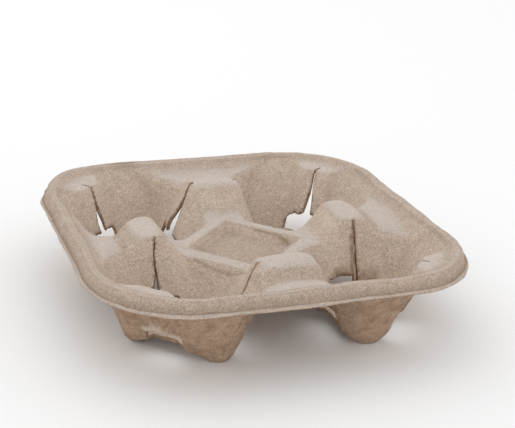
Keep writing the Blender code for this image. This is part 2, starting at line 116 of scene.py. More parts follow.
# Shares along the well's mouth, and how high the points beside it are on their way to the hump or the rib
CHORD_SHARES = (0.0, 0.6, 1.0)
LOBE_MOUTH_SHARES = (0.3, 0.68)
LOBE_NEAR_SHARE = 0.75
LEDGE_MOUTH_SHARE = 0.55
HUMP_RISE_SHARES = (0.35, 0.88)
NECK_SHARES = (0.2, 0.6)
HUMP_LIFT_SHARES = (0.55, 0.86)
RIB_SHOULDER_SHARE = 0.45
RIB_LIFT_SHARE = 0.6
RIM_LIMIT_SHARES = (0.5, 0.75)
RIM_EDGE_SHARES = (0.4, 0.25)

# Well: mouth, section at the level of the slots' bars, section above the floor, floor and leg pockets
CORNER_REACH = (HALF - CORNER_RADIUS) / DIAGONAL + CORNER_RADIUS
CHORD_MOUTH_REACH = CORNER_REACH - 24.7 * MM
CHORD_MOUTH_HALF = 7 * MM
CORNER_LEDGE_DROP = 4 * MM
LOBE_MOUTH_SIDE = HALF - 38.8 * MM
LOBE_MOUTH_ROUND = 8.5 * MM
EDGE_ROUND = 2.4 * MM
MOUTH_ROUND = 4.2 * MM
BAR_HEIGHT = 16.5 * MM
FOOT_HEIGHT = 9.5 * MM
FLOOR_HEIGHT = 8.5 * MM
LEG_FOOT_REACH = HALF - 30.4 * MM
LEG_FOOT_LENGTH = 5.5 * MM
LEG_INNER_SLOPE_WIDTH = 4.5 * MM
LEG_MIDDLE_SHARE = 0.47
LEG_HALF_WIDTH_SHARE = 0.135
LEG_END_CURVE_SHARE = 0.15
WELL_MIDDLE_SHARE = 0.48
LEG_DEPTH_SHARES = (0, 0, 0, 0.30, 0.68, 1, 1, 1, 0.68, 0.30, 0, 0)
LEG_ACROSS_SHARES = (0, 0, 2.8, 2.6, 1.9, 1, 0, -1, -1.9, -2.6, -2.8, 0)
LOBE_END = 8
RIB_START = 18


# Small tools

def mix(start, end, share):
    return start + (end - start) * share


def point(x, y, z):
    return Vector((x, y, z))


def link(name, data):
    item = bpy.data.objects.new(name, data)
    bpy.context.scene.collection.objects.link(item)
    return item


def mesh_data(name, mesh):
    """Blender's own mesh, made of a bmesh that is then freed."""
    data = bpy.data.meshes.new(name)
    mesh.to_mesh(data)
    mesh.free()
    return data


def rows_of(items, name):
    values = np.empty(len(items) * 3, np.float32)
    items.foreach_get(name, values)
    return values.reshape(-1, 3).astype(np.float64)


def places_of(mesh):
    return rows_of(mesh.vertices, "co")


def normals_of(mesh):
    return rows_of(mesh.vertex_normals, "vector")


def set_places(mesh, places):
    mesh.vertices.foreach_set("co", places.astype(np.float32).ravel())
    mesh.update()


def tree_of(places):
    tree = kdtree.KDTree(len(places))
    for index, place in enumerate(places):
        tree.insert(place, index)
    tree.balance()
    return tree


# Cage of one eighth of the sheet's upper surface

def rim_height(inset):
    for (near, near_drop), (far, far_drop) in zip(RIM_SECTION, RIM_SECTION[1:]):
        if inset <= far:
            return HEIGHT - mix(near_drop, far_drop, (inset - near) / (far - near))
    return HEIGHT - RIM_FOOT_DROP


def rim_point(inset, side, turn):
    """Point of the rim: up its straight side, or at a turn round its corner's arc."""
    straight = HALF - CORNER_RADIUS
    if turn is None:
        return point(HALF - inset, side, rim_height(inset))
    radius = CORNER_RADIUS - inset
    return point(straight + radius * math.cos(turn), straight + radius * math.sin(turn), rim_height(inset))


def inset_of(x, y):
    straight = HALF - CORNER_RADIUS
    if y <= straight:
        return HALF - x
    return CORNER_RADIUS - math.hypot(x - straight, y - straight)


def diagonal_place(reach, aside):
    return (reach + aside) * DIAGONAL, (reach - aside) * DIAGONAL


def side_reach(share):
    return mix(LEDGE_REACH, JUNCTION_REACH, share)


def corner_mouth():
    ledge = HEIGHT - CORNER_LEDGE_DROP - EDGE_ROUND / 4
    chord = [diagonal_place(CHORD_MOUTH_REACH, CHORD_MOUTH_HALF * share) for share in CHORD_SHARES]
    chord_end_x, chord_end_y = chord[-1]
    rim_x = HALF - SHOULDER_INSET - LOBE_MOUTH_ROUND / 2
    half_x = mix(chord_end_x, rim_x, 0.5)
    return [
        point(*chord[0], ledge),
        point(*chord[1], ledge),
        point(chord_end_x + EDGE_ROUND / 2, chord_end_y - EDGE_ROUND / 2, ledge),
        point(half_x, LOBE_MOUTH_SIDE, rim_height(inset_of(half_x, LOBE_MOUTH_SIDE)) - EDGE_ROUND / 6),
        point(rim_x, LOBE_MOUTH_SIDE - LOBE_MOUTH_ROUND / 8,
              rim_height(inset_of(rim_x, LOBE_MOUTH_SIDE)) - EDGE_ROUND / 6),
    ]


def lobe_mouth():
    x = HALF - SHOULDER_INSET
    z = HEIGHT - SHOULDER_DROP - EDGE_ROUND / 6
    far = LOBE_MOUTH_SIDE - LOBE_MOUTH_ROUND
    near = LEDGE_OUTER_HALF + LOBE_MOUTH_ROUND * LOBE_NEAR_SHARE
    return [
        point(x - LOBE_MOUTH_ROUND / 12, far, z),
        point(x, mix(far, near, LOBE_MOUTH_SHARES[0]), z),
        point(x, mix(far, near, LOBE_MOUTH_SHARES[1]), z),
        point(x - EDGE_ROUND / 2, near, z - EDGE_ROUND / 6),
    ]


def hump_mouth():
    ledge_outer, ledge_inner = HEIGHT - LEDGE_OUTER_DROP, HEIGHT - LEDGE_INNER_DROP
    edge = HEIGHT - HUMP_PEAK_DROP - HUMP_EDGE_SAG
    inner = HEIGHT - HUMP_INNER_DROP - HUMP_EDGE_SAG
    width, neck = HUMP_HALF_WIDTH, JUNCTION_HALF_WIDTH
    return [
        point(LEDGE_REACH + SHEET, LEDGE_OUTER_HALF, ledge_outer + SHEET / 2),
        point(side_reach(LEDGE_END_SHARE / 4), mix(LEDGE_OUTER_HALF, LEDGE_INNER_HALF, LEDGE_MOUTH_SHARE),
              mix(ledge_outer, ledge_inner, LEDGE_MOUTH_SHARE)),
        point(side_reach(LEDGE_END_SHARE) + SHEET, LEDGE_INNER_HALF, ledge_inner - EDGE_ROUND / 6),
        point(side_reach(HUMP_OUTER_SHARE), width, mix(ledge_inner, edge, HUMP_RISE_SHARES[0])),
        point(side_reach(mix(HUMP_OUTER_SHARE, HUMP_PEAK_SHARE, 0.5)), width,
              mix(ledge_inner, edge, HUMP_RISE_SHARES[1])),
        point(side_reach(HUMP_PEAK_SHARE) - EDGE_ROUND / 4, width, edge),
        point(side_reach(HUMP_INNER_SHARE), mix(width, neck, NECK_SHARES[0]), inner),
        point(side_reach(DESCENT_SHARE), mix(width, neck, NECK_SHARES[1]), mix(inner, JUNCTION_HEIGHT, 0.5)),
        point(JUNCTION_REACH - EDGE_ROUND / 2, neck, JUNCTION_HEIGHT - EDGE_ROUND / 3),
    ]


def rib_mouth():
    places = [diagonal_place(RIB_OUTER_REACH + lift, aside) for lift, aside in (
        (EDGE_ROUND / 2, RIB_STRAIGHT_HALF), (0.0, RIB_STRAIGHT_HALF / 2), (0.0, 0.0))]
    return [point(x, y, RIB_OUTER_HEIGHT) for x, y in places]


def well_mouth():
    return corner_mouth() + lobe_mouth() + hump_mouth() + rib_mouth()


# Shares across and along the spans of a well's section: round the lobe, the top of the step past the bar, down
# the step, along the flank, and to the inner corner
LOBE_SHARES = ((0.36, 0.02), (0.66, 0.14), (0.92, 0.32), (1.0, 0.51), (1.0, 0.71))
STEP_TOP_SHARES = (0.86, 0.10)
STEP_SHARES = ((0.62, 1.0), (0.42, 0.72), (0.20, 0.38))
FLANK_SHARES = ((0.03, 0.15), (0.18, 0.0), (0.39, 0.0), (0.60, 0.0), (0.80, 0.0), (1.0, 0.0))
INNER_SHARES = ((0.45, 0.12), (0.82, 0.52), (1.0, 1.0))


def well_section(height, chord, chord_half, lobe, near, far, flank, outer, inner, corner):
    """The well's section at a height, point for point with the mouth, from the corner to the middle."""
    places = [diagonal_place(chord, chord_half * share) for share in CHORD_SHARES]
    chord_x = places[-1][0]
    corner_x, corner_y = diagonal_place(corner, 0.0)
    side = far - near
    run = outer - inner
    places += [(mix(chord_x, lobe, across), far - side * along) for across, along in LOBE_SHARES]
    places += [(mix(outer, lobe, STEP_TOP_SHARES[0]), near + side * STEP_TOP_SHARES[1])]
    places += [(mix(outer, lobe, across), mix(flank, near, along)) for across, along in STEP_SHARES]
    places += [(outer - run * across, mix(flank, near, along)) for across, along in FLANK_SHARES]
    places += [(mix(inner, corner_x, across), mix(flank, corner_y, along)) for across, along in INNER_SHARES]
    return [point(x, y, height) for x, y in places]


def section_sizes(chord_inset, chord_half, lobe_inset, lobe_round, step_share,
                  flank, inner_round, corner_lean):
    chord = CORNER_REACH - chord_inset
    chord_side = diagonal_place(chord, chord_half)[1]
    lobe = HALF - lobe_inset
    corner = RIB_OUTER_REACH + corner_lean
    inner = corner * DIAGONAL + inner_round
    near = mix(flank, chord_side, step_share)
    return chord, chord_half, lobe, near, chord_side, flank, lobe - lobe_round, inner, corner


BAR_SIZES = section_sizes(
    chord_inset=34 * MM, chord_half=12.4 * MM, lobe_inset=23.4 * MM, lobe_round=10.1 * MM, step_share=0.081,
    flank=HUMP_HALF_WIDTH + 10.6 * MM, inner_round=9.7 * MM, corner_lean=7 * MM)
FOOT_SIZES = section_sizes(
    chord_inset=37.2 * MM, chord_half=12.4 * MM, lobe_inset=26.6 * MM, lobe_round=8.4 * MM, step_share=0.130,
    flank=HUMP_HALF_WIDTH + 13 * MM, inner_round=9 * MM, corner_lean=11 * MM)


def well_column(index, middle, mouth, bar, foot):
    """From the mouth's edge down the wall, into the leg if there is one, and in to the floor."""
    edge = mouth + (bar - mouth).normalized() * MOUTH_ROUND
    inward = (middle - foot).normalized()
    toe = foot + inward * (SHEET / 2)
    toe.z = FLOOR_HEIGHT
    heel = toe + inward * (SHEET / 2)
    floor_edge = heel + inward * (SHEET / 2)
    share = LEG_DEPTH_SHARES[index] if index < len(LEG_DEPTH_SHARES) else 0.0
    if share > 0.0:
        near, far = FOOT_SIZES[3:5]
        half_width = (far - near) * LEG_HALF_WIDTH_SHARE
        across = LEG_ACROSS_SHARES[index]
        reach = LEG_FOOT_REACH - half_width * across * across * LEG_END_CURVE_SHARE
        side = mix(near, far, LEG_MIDDLE_SHARE) + half_width * across
        toe = point(mix(toe.x, reach, share), mix(toe.y, side, share), mix(FLOOR_HEIGHT, SHEET, share))
        heel = toe + inward * mix(SHEET / 2, LEG_FOOT_LENGTH, share)
        floor_edge = heel + inward * mix(SHEET / 2, LEG_INNER_SLOPE_WIDTH, share)
        floor_edge.z = FLOOR_HEIGHT
    return [mouth, edge, mouth.lerp(bar, 0.5), bar, foot, toe, heel, floor_edge]


def outer_column(mouth):
    """From the mouth's edge out over the rim to the lip."""
    straight = HALF - CORNER_RADIUS
    inset = inset_of(mouth.x, mouth.y)
    turn = None
    if mouth.y > straight:
        turn = math.atan2(mouth.y - straight, mouth.x - straight)
    foot = min(RIM_FOOT_INSET, mix(inset, CREST_INSET, RIM_LIMIT_SHARES[0]))
    shoulder = min(SHOULDER_INSET, mix(inset, CREST_INSET, RIM_LIMIT_SHARES[1]))
    if inset > RIM_FOOT_INSET:
        edge = mix(inset, foot, RIM_EDGE_SHARES[0])
    else:
        edge = mix(inset, CREST_INSET, RIM_EDGE_SHARES[1])
    insets = [edge, foot, shoulder] + [item[0] for item in reversed(RIM_SECTION[:CREST_ROW + 1])]
    return [mouth] + [rim_point(item, mouth.y, turn) for item in insets]


def side_rim_column(share, first):
    side = first[0].y * (1.0 - share)
    return [rim_point(inset_of(item.x, item.y), side, None) for item in first]


def hump_middle_line():
    outer, peak, inner = (HEIGHT - drop for drop in (HUMP_OUTER_DROP, HUMP_PEAK_DROP, HUMP_INNER_DROP))
    ledge_outer, ledge_inner = HEIGHT - LEDGE_OUTER_DROP, HEIGHT - LEDGE_MIDDLE_DROP
    return [
        point(LEDGE_REACH, 0.0, ledge_outer),
        point(side_reach(LEDGE_END_SHARE / 2), 0.0, mix(ledge_outer, ledge_inner, LEDGE_LINE_SHARE)),
        point(side_reach(LEDGE_END_SHARE), 0.0, ledge_inner),
        point(side_reach(HUMP_OUTER_SHARE), 0.0, outer),
        point(side_reach(mix(HUMP_OUTER_SHARE, HUMP_PEAK_SHARE, 0.5)), 0.0, mix(outer, peak, HUMP_LINE_SHARE)),
        point(side_reach(HUMP_PEAK_SHARE), 0.0, peak),
        point(side_reach(HUMP_INNER_SHARE), 0.0, inner),
        point(side_reach(DESCENT_SHARE), 0.0, mix(inner, JUNCTION_HEIGHT, 0.5)),
        point(JUNCTION_REACH, 0.0, JUNCTION_HEIGHT),
    ]


def hump_row(mouth, middle):
    row = [mouth]
    for share, lift_share in zip(HUMP_ROW_SHARES, HUMP_LIFT_SHARES):
        item = mouth.lerp(middle, share)
        item.z = mix(mouth.z, middle.z, lift_share)
        row.append(item)
    return row + [middle]


def rib_row(mouth, aside):
    crest_x, crest_y = diagonal_place(RIB_CREST_REACH, aside)
    inner_x, inner_y = diagonal_place(RIB_INNER_REACH, aside)
    crest = point(crest_x, crest_y, RIB_CREST_HEIGHT)
    shoulder = mouth.lerp(crest, RIB_SHOULDER_SHARE)
    shoulder.z = mix(mouth.z, crest.z, RIB_LIFT_SHARE)
    return [mouth, shoulder, crest, point(inner_x, inner_y, RIB_INNER_HEIGHT)]


# Cage of the whole sheet

FLOOR_RING_SHARE = 0.45
DIAMOND_RING_SHARE = 0.6


def add_face(mesh, corners):
    mesh.faces.new([mesh.verts.new(item) for item in corners])


def add_grid(mesh, rows):
    for row, following in zip(rows, rows[1:]):
        for index in range(len(row) - 1):
            add_face(mesh, (row[index], row[index + 1], following[index + 1], following[index]))


def turned(rows):
    return [row[::-1] for row in rows]


def add_well(mesh, mouth):
    bar = well_section(BAR_HEIGHT, *BAR_SIZES)
    foot = well_section(FOOT_HEIGHT, *FOOT_SIZES)
    middle = foot[-1].lerp(foot[0], WELL_MIDDLE_SHARE)
    columns = [well_column(index, middle, *places) for index, places in enumerate(zip(mouth, bar, foot))]
    add_grid(mesh, columns)
    floor = [column[-1] for column in columns]
    ring = [item.lerp(point(middle.x, middle.y, FLOOR_HEIGHT), FLOOR_RING_SHARE) for item in floor]
    add_grid(mesh, [floor, ring][::-1])
    add_face(mesh, ring[::-1])


def add_rim(mesh, mouth):
    columns = [outer_column(item) for item in mouth[:LOBE_END + 1]]
    add_grid(mesh, turned(columns))
    last = columns[-1]
    sides = [last] + [side_rim_column(share, last) for share in HUMP_ROW_SHARES]
    add_grid(mesh, turned(sides))
    return [column[0] for column in sides]


def add_hump(mesh, mouth, rim_edge):
    rows = [rim_edge]
    for item, centre in zip(mouth[LOBE_END + 1:RIB_START], hump_middle_line()):
        rows.append(hump_row(item, centre))
    add_grid(mesh, turned(rows))
    return rows[-1]


def add_ribs(mesh, mouth, junction):
    asides = (RIB_STRAIGHT_HALF, RIB_STRAIGHT_HALF / 2, 0.0)
    rows = [rib_row(item, aside) for item, aside in zip(mouth[RIB_START:], asides)]
    add_grid(mesh, turned(rows))
    first = rows[0]
    crest_corner = point(RIB_CREST_REACH / DIAGONAL, 0.0, RIB_CREST_HEIGHT)
    inner_corner = point(RIB_INNER_REACH / DIAGONAL, 0.0, RIB_INNER_HEIGHT)
    add_grid(mesh, turned([junction[:3], first[:3]]))
    add_face(mesh, (junction[3], junction[2], first[2], crest_corner))
    add_face(mesh, (crest_corner, first[2], first[3], inner_corner))
    edge = [inner_corner] + [row[3] for row in rows]
    share = (RIB_INNER_REACH - DIAMOND_STEP_WIDTH) / RIB_INNER_REACH
    step = [point(item.x * share, item.y * share, DIAMOND_FLOOR_HEIGHT) for item in edge]
    add_grid(mesh, [step, edge])
    middle = point(0.0, 0.0, DIAMOND_FLOOR_HEIGHT)
    inner = [middle.lerp(item, DIAMOND_RING_SHARE) for item in step]
    add_grid(mesh, [inner, step])
    add_face(mesh, [middle] + inner)


def build_cage():
    """Upper surface of the carrier as a coarse cage, whole, with its faces up."""
    mesh = bmesh.new()
    mouth = well_mouth()
    add_well(mesh, mouth)
    rim_edge = add_rim(mesh, mouth)
    junction = add_hump(mesh, mouth, rim_edge)
    add_ribs(mesh, mouth, junction)
    bmesh.ops.remove_doubles(mesh, verts=mesh.verts, dist=WELD)
    for swap in ("diagonal", "x", "y"):
        copy = bmesh.ops.duplicate(mesh, geom=mesh.verts[:] + mesh.edges[:] + mesh.faces[:])
        for vert in (item for item in copy["geom"] if isinstance(item, bmesh.types.BMVert)):
            x, y, z = vert.co
            vert.co = {"diagonal": (y, x, z), "x": (-x, y, z), "y": (x, -y, z)}[swap]
        bmesh.ops.remove_doubles(mesh, verts=mesh.verts, dist=WELD)
    bmesh.ops.recalc_face_normals(mesh, faces=mesh.faces)
    if sum(face.normal.z for face in mesh.faces) < 0:
        bmesh.ops.reverse_faces(mesh, faces=mesh.faces)
    return mesh_data("cage", mesh)


# Smooth surface through the cage

def evaluated_mesh(item):
    item.update_tag()
    bpy.context.view_layer.update()
    deps = bpy.context.evaluated_depsgraph_get()
    return bpy.data.meshes.new_from_object(item.evaluated_get(deps), depsgraph=deps)


def eighth_place(place):
    """The same place in the eighth of the carrier that the cage is drawn in."""
    x, y = abs(place[0]), abs(place[1])
    return Vector((max(x, y), min(x, y), place[2]))


def hold_shares(places):
    """How closely the smooth surface keeps to each point: fully on the rim, softly at the wells' mouths."""
    tree = tree_of(well_mouth())
    shares = np.full(len(places), FIRM_HOLD)
    for index, place in enumerate(places):
        folded = eighth_place(place)
        _, number, distance = tree.find(folded)
        if inset_of(folded.x, folded.y) < SHOULDER_INSET - MM:
            shares[index] = 1.0
        elif distance < MOUTH_HOLD_REACH:
            shares[index] = CRISP_HOLD if number > CRISP_START else SOFT_HOLD
    return shares[:, None]


def smooth_sheet(cage, shares):
    """Subdivides the cage, after pushing its points out so that the smooth surface passes close to them."""
    item = link("cage", cage)
    modifier = item.modifiers.new("smooth", "SUBSURF")
    modifier.subdivision_type = "CATMULL_CLARK"
    modifier.levels = 1
    modifier.use_limit_surface = True
    wanted = places_of(cage)
    current = wanted.copy()
    for _ in range(FIT_ROUNDS):
        fine = evaluated_mesh(item)
        reached = places_of(fine)[:len(wanted)]
        bpy.data.meshes.remove(fine)
        current += (wanted - reached) * FIT_SHARE
        set_places(cage, wanted + (current - wanted) * shares)
    modifier.levels = SURFACE_LEVELS
    fine = evaluated_mesh(item)
    bpy.data.objects.remove(item, do_unlink=True)
    return fine


# Fine dark lines in plan, painted shade in creases and along edges and torn pulp along a slit: half width in
# millimetres, strength and path
CREASE_SHADE_AND_TEAR_LINES = (
    # Painted shadow under the diamond's back right rib and beside its front left one
    (1, 0.75, ((12.5, 19.5), (22, 9.6), (30.3, -1))),
    (0.9, 0.45, ((-34, -12.5), (-23, -24.2), (-12.5, -36))),
    # Painted shade along the front hump's far edge, the back hump's right edge and a fold at the back left
    # corner
    (0.9, 0.40, ((5.9, -52), (16.4, -44.3), (26.4, -44))),
    (1.3, 0.95, ((15.5, 69.5), (18.3, 68.7), (19.4, 64.5))),
    (1.5, 0.85, ((-67, 98), (-58, 98.8), (-50, 97.2), (-39.6, 98))),
    # Pulp torn along the front right well's slit
    (1.9, 0.60, ((59, -15.6), (59, -26))),
    (2.6, 0.60, ((43, -26.4), (58, -27.2), (70.5, -27.4))),
    # Small nicks
    (1, 0.60, ((77.9, -66.1), (81.3, -67.2))),
    (1.3, 0.60, ((97.4, 68.3), (98.2, 68.3))),
    (1.2, 0.60, ((19.6, -45.9), (20.2, -45.9))),
)

# Irregularities: place, reach and shift of each pull in millimetres. It moves what lies near its
# place, and fades out over its reach.
PULLS = (
    # Front left well's left leg: straighter outer side, its foot short and turned back
    ((-76, -46, 2), 12, (-2.2, 3.8, 1.6)),
    # Feet of the two front legs, and the front right leg's near side
    ((-42, -76, 2), 11, (3.6, 0, 0)),
    ((-60, -71, 7), 9, (-2.2, 0, 0)),
    ((-53, -75, 2), 8, (0, 0, 2.2)),
    ((-31, -80, 22), 13, (-1.6, 0, 0)),
    ((44, -76, 2), 13, (3.2, 0, 0)),
    ((31, -82, 24), 16, (4.2, 0, 0.5)),
    # Far edge of the left ledge and of the left hump
    ((-79, 22, 38), 13, (0, -6.5, -4)),
    ((-70, 15, 42), 9, (0, -1, -1.5)),
    # Left edge of the front left well
    ((-84, -30, 40), 14, (0, 0, -2.5)),
    # Border of the front right well, low beside the right ledge
    ((82, -34, 41), 17, (-1.5, -1, -5)),
    # Outer lobes of the back wells, whose edges melt into the rim's slope
    ((-93, 48, 46), 15, (1, 0, -2)),
    ((-48, 93, 46), 14, (0, -1, -2.2)),
    ((48, 93, 46), 14, (0, -1, -2.2)),
    ((93, 48, 46), 14, (-1, 0, -2.2)),
    # Ledge behind the back hump, which runs on past it on both sides
    ((33, 87, 43), 10, (6, 0, 1.5)),
    ((-33, 87, 43), 10, (-6, 0, 1.5)),
    # Front hump, a little flatter and turned
    ((0, -60, 47), 12, (0.5, 0, -0.4)),
    ((14, -70, 44), 8, (1.5, 0, -0.8)),
)
RIM_PULLS = (
    # Dents of the left corner and the higher corner behind it
    ((-104, 86, 44), 7, (1.6, 0, 0)),
    ((-104, 70, 44), 6, (1.4, 0, 0)),
    ((-94, 98, 46), 20, (0, 0, 1.4)),
)
PAST_RIM_PULLS_STEP = (8 * MM, 13 * MM)


def insets_of(places):
    """How far in from the rim's outer edge each place is."""
    return np.array([inset_of(item.x, item.y) for item in map(eighth_place, places)])


def smooth_step(values, low, high):
    share = np.clip((values - low) / (high - low), 0.0, 1.0)
    return share * share * (3.0 - 2.0 * share)


def pull_of(places, centre, reach, shift):
    """How far one pull moves each place."""
    off = places - np.array(centre) * MM
    share = np.exp(-(off * off).sum(axis=1) / (reach * MM) ** 2)
    return share[:, None] * np.array(shift) * MM


def pull_places(places):
    """Moves points by the pulls. The rim only follows its own."""
    moved = places.copy()
    inside = smooth_step(insets_of(places), *PAST_RIM_PULLS_STEP)[:, None]
    for pull in PULLS:
        moved += pull_of(places, *pull) * inside
    for pull in RIM_PULLS:
        moved += pull_of(places, *pull)
    moved[:, 2] = np.maximum(moved[:, 2], 0.0)
    return moved


# Inset of each crease that runs round the rim, its half width and its depth, in millimetres, and the size and
# height of the noise that sways them
RIM_CREASES = ((1.9, 0.6, 0.85), (4.3, 0.55, 0.36))
RIM_SWAY = (16 * MM, 0.5 * MM)

# Size and height of each noise that makes the sheet uneven, where it starts, and how high above the floor the
# feet stay flat
WAVES = ((38 * MM, 0.60 * MM), (13 * MM, 0.40 * MM), (5 * MM, 0.20 * MM))
WAVES_START = Vector((4.2, 4.2 * 0.7, 4.2 * 1.3))
STANDING_HEIGHT = 4 * MM
NOISE_SEED = 2


def sways_of(places, size, height):
    """How far a crease wavers to either side, by place."""
    return np.array([noise.noise(Vector(place) / size) for place in places]) * height


def crease_rim(data):
    """Presses wavering creases into the rim's outer face."""
    places = places_of(data)
    normals = normals_of(data)
    insets = insets_of(places)
    sways = sways_of(places, *RIM_SWAY)
    depths = np.zeros(len(places))
    for inset, half_width, depth in RIM_CREASES:
        away = (insets + sways - inset * MM) / (half_width * MM)
        depths += np.exp(-away * away) * depth * MM
    set_places(data, places - normals * depths[:, None])


def uneven(places):
    """Slow waves and small lumps of a pressed sheet, the same on both its faces."""
    moved = places.copy()
    for size, height in WAVES:
        shifts = [noise.noise_vector(Vector(place) / size + WAVES_START) for place in places]
        moved += np.array(shifts) * height
    standing = np.clip(places[:, 2] / STANDING_HEIGHT, 0.0, 1.0)
    moved[:, 2] = places[:, 2] + (moved[:, 2] - places[:, 2]) * standing
    moved[:, 2] = np.maximum(moved[:, 2], 0.0)
    return moved


# Thickness

KEEP_SHARE = 0.02


def under_place(vert):
    """Place under a point of the cage that keeps the sheet's thickness square to its faces."""
    square = Matrix.Diagonal((KEEP_SHARE, KEEP_SHARE, KEEP_SHARE))
    aim = -vert.normal * KEEP_SHARE
    for face in vert.link_faces:
        weight = 1.0 / len(vert.link_faces)
        normal = face.normal
        square = square + Matrix([normal * (weight * normal[row]) for row in range(3)])
        aim = aim - normal * weight
    thickness = LIP_SHEET if vert.is_boundary else SHEET
    place = vert.co + square.inverted() @ aim * thickness
    if vert.co.z < SHEET + WELD:
        place.z = 0.0
    return place


def under_cage(cage):
    """The cage's own underside, point for point."""
    mesh = bmesh.new()
    mesh.from_mesh(cage)
    mesh.normal_update()
    places = np.array([under_place(vert) for vert in mesh.verts])
    mesh.free()
    under = cage.copy()
    set_places(under, places)
    return under


def closed_sheet(upper, under):
    """Joins two surfaces of the same faces into a closed sheet, round the lip."""
    mesh = bmesh.new()
    mesh.from_mesh(upper)
    faces = mesh.faces[:]
    loops = [(edge.link_loops[0].vert, edge.link_loops[0].link_loop_next.vert)
             for edge in mesh.edges if edge.is_boundary]
    below = {vert: mesh.verts.new(place) for vert, place in zip(mesh.verts[:], places_of(under))}
    for face in faces:
        mesh.faces.new([below[vert] for vert in reversed(face.verts)])
    for start, end in loops:
        mesh.faces.new([end, start, below[start], below[end]])
    return mesh_data("carrier", mesh)


# Slots. Each is a slit down a wall and a bar at the wall's foot, drawn pointing along +X. A shape, in
# millimetres, says how much further up the slit runs, its sways and half widths from the top down, the bar's
# two ends and depth, how far its wall bows out and how much lower its head is. Tables go by side in X and Y.
Shape = namedtuple("Shape", "further sways half_widths ends depth arch drop", defaults=(0.0, 0.0))
Slot = namedtuple("Slot", "seed slit_end wall_edge shape place")
CORNER_SLOTS = {
    (-1, 1): Shape(0, (2.2, 0.2, -0.2, 0.1, 0.3), (0.3, 0.3, 0.6, 2.4, 0.5), (-12.6, 13.2), 9.4, 0.6, 2.0),
    (1, 1): Shape(1.0, (1.8, 0.6, 0.2, 0, 0), (0.3, 0.4, 0.5, 2.1, 2.6), (-13.0, 13.2), 9.0, 0.6, 2.7),
    (-1, -1): Shape(-12.4, (0, 0, 0, 0, 0), (0.15, 0.15, 0.15, 0.2, 0.3), (-10.5, 10.5), 8.0, 0.8, 3.0),
    (1, -1): Shape(0, (0, 0.3, 0, 0.3, 0), (0.3, 0.3, 0.4, 0.6, 1.0), (-12.4, 12.4), 8.4),
}
LEFT_RIGHT_SLOTS = {
    (-1, -1): Shape(0.6, (1.0, -0.4, 0.3, -0.5, -2.0), (0.3, 0.35, 0.5, 1.9, 1.6), (-14.5, 12.0), 6.4),
    (1, -1): Shape(0.8, (0.6, 1.0, 0.8, 1.2, 1.0), (0.4, 0.4, 0.4, 0.4, 0.5), (-15.5, -1.0), 5.8),
    (-1, 1): Shape(0, (0, 0.2, 0, 0.3, 0), (0.4, 0.4, 0.5, 0.9, 1.4), (-13.4, 12.6), 5.6),
    (1, 1): Shape(0, (0, -0.3, 0, 0.2, 0), (0.4, 0.4, 0.5, 0.8, 1.3), (-13.0, 13.0), 5.6),
}
FRONT_BACK_SLOTS = {
    (-1, 1): Shape(3.0, (0.5, 0.2, 0, 0.3, 0), (0.6, 0.7, 1.0, 2.8, 2.6), (-13.4, 13.0), 6.4),
    (1, 1): Shape(3.4, (1.4, 0.3, 0, 0.2, 0), (0.3, 0.3, 0.5, 0.9, 1.3), (-13.0, 13.2), 5.6),
    (-1, -1): Shape(1.6, (-1.6, 0.2, 0.4, 0.4, 0.6), (0.3, 0.3, 0.35, 0.4, 0.6), (-13.0, 12.6), 5.6),
    (1, -1): Shape(0, (0, 0.2, 0, 0.2, 0), (0.3, 0.3, 0.5, 0.8, 1.2), (-13.0, 13.0), 5.6),
}
BAR_STEPS = 14
BAR_OUTREACH = 6.5 * MM
BAR_LEAST = 3 * MM
BAR_MOST = 2 * MM
SLIT_OVERLAP = 2 * MM
CUTTER_BASE = -10 * MM
RAGGED = 0.35 * MM
RAGGED_SIZE = 3 * MM
RAGGED_HEAD = 1.1 * MM
HEAD_SIZE = 2.5 * MM
HEAD_START = 0.5
CORNER_SLIT_INSET = 20.2 * MM
CORNER_BAR_INSET = 33.4 * MM
FLANK_SLIT_START = 16 * MM
FLANK_BAR_GAP = 10.8 * MM
FLANK_SLOT_SHARE = 0.61


def ragged(x, y, seed):
    shift = noise.noise_vector(Vector((x / RAGGED_SIZE, y / RAGGED_SIZE, seed)))
    return x + shift.x * RAGGED, y + shift.y * RAGGED


def bow(share):
    """Height of a round arch from 0 to 1, at a share of the way from its middle to its end."""
    return math.sqrt(max(0.0, 1.0 - share * share))


def all_slots():
    """Every slot, with where its slit ends, where its wall meets the bar, and its place in plan."""
    corner = (CORNER_REACH - CORNER_SLIT_INSET, CORNER_REACH - CORNER_BAR_INSET)
    flank = (-FLANK_SLIT_START, -HUMP_HALF_WIDTH - FLANK_BAR_GAP)
    outer, inner = BAR_SIZES[6:8]
    reach = mix(inner, outer, FLANK_SLOT_SHARE)
    slots = []
    for (i, j), shape in CORNER_SLOTS.items():
        slots.append((*corner, shape, lambda x, y, i=i, j=j: (i * (x + y) * DIAGONAL, j * (x - y) * DIAGONAL)))
    for (i, j), shape in LEFT_RIGHT_SLOTS.items():
        slots.append((*flank, shape, lambda x, y, i=i, j=j: (i * reach + y, -j * x)))
    for (i, j), shape in FRONT_BACK_SLOTS.items():
        slots.append((*flank, shape, lambda x, y, i=i, j=j: (-i * x, j * reach + y)))
    return [Slot(seed, *values) for seed, values in enumerate(slots)]


def add_slit(mesh, slot):
    """Upright cutter of one slit, down the wall to inside the bar."""
    further, sways, half_widths = slot.shape[:3]
    steps = len(sways) - 1
    top, foot = slot.slit_end + further * MM, slot.wall_edge - SLIT_OVERLAP
    along = [mix(top, foot, index / steps) for index in range(steps + 1)]
    right = [(x, (sway + half) * MM) for x, sway, half in zip(along, sways, half_widths)]
    left = [(x, (sway - half) * MM) for x, sway, half in zip(along, sways, half_widths)]
    outline = [slot.place(*ragged(x, y, slot.seed)) for x, y in right + left[::-1]]
    rings = [[mesh.verts.new((x, y, z)) for x, y in outline] for z in (CUTTER_BASE, HEIGHT - CUTTER_BASE)]
    add_tube(mesh, rings)


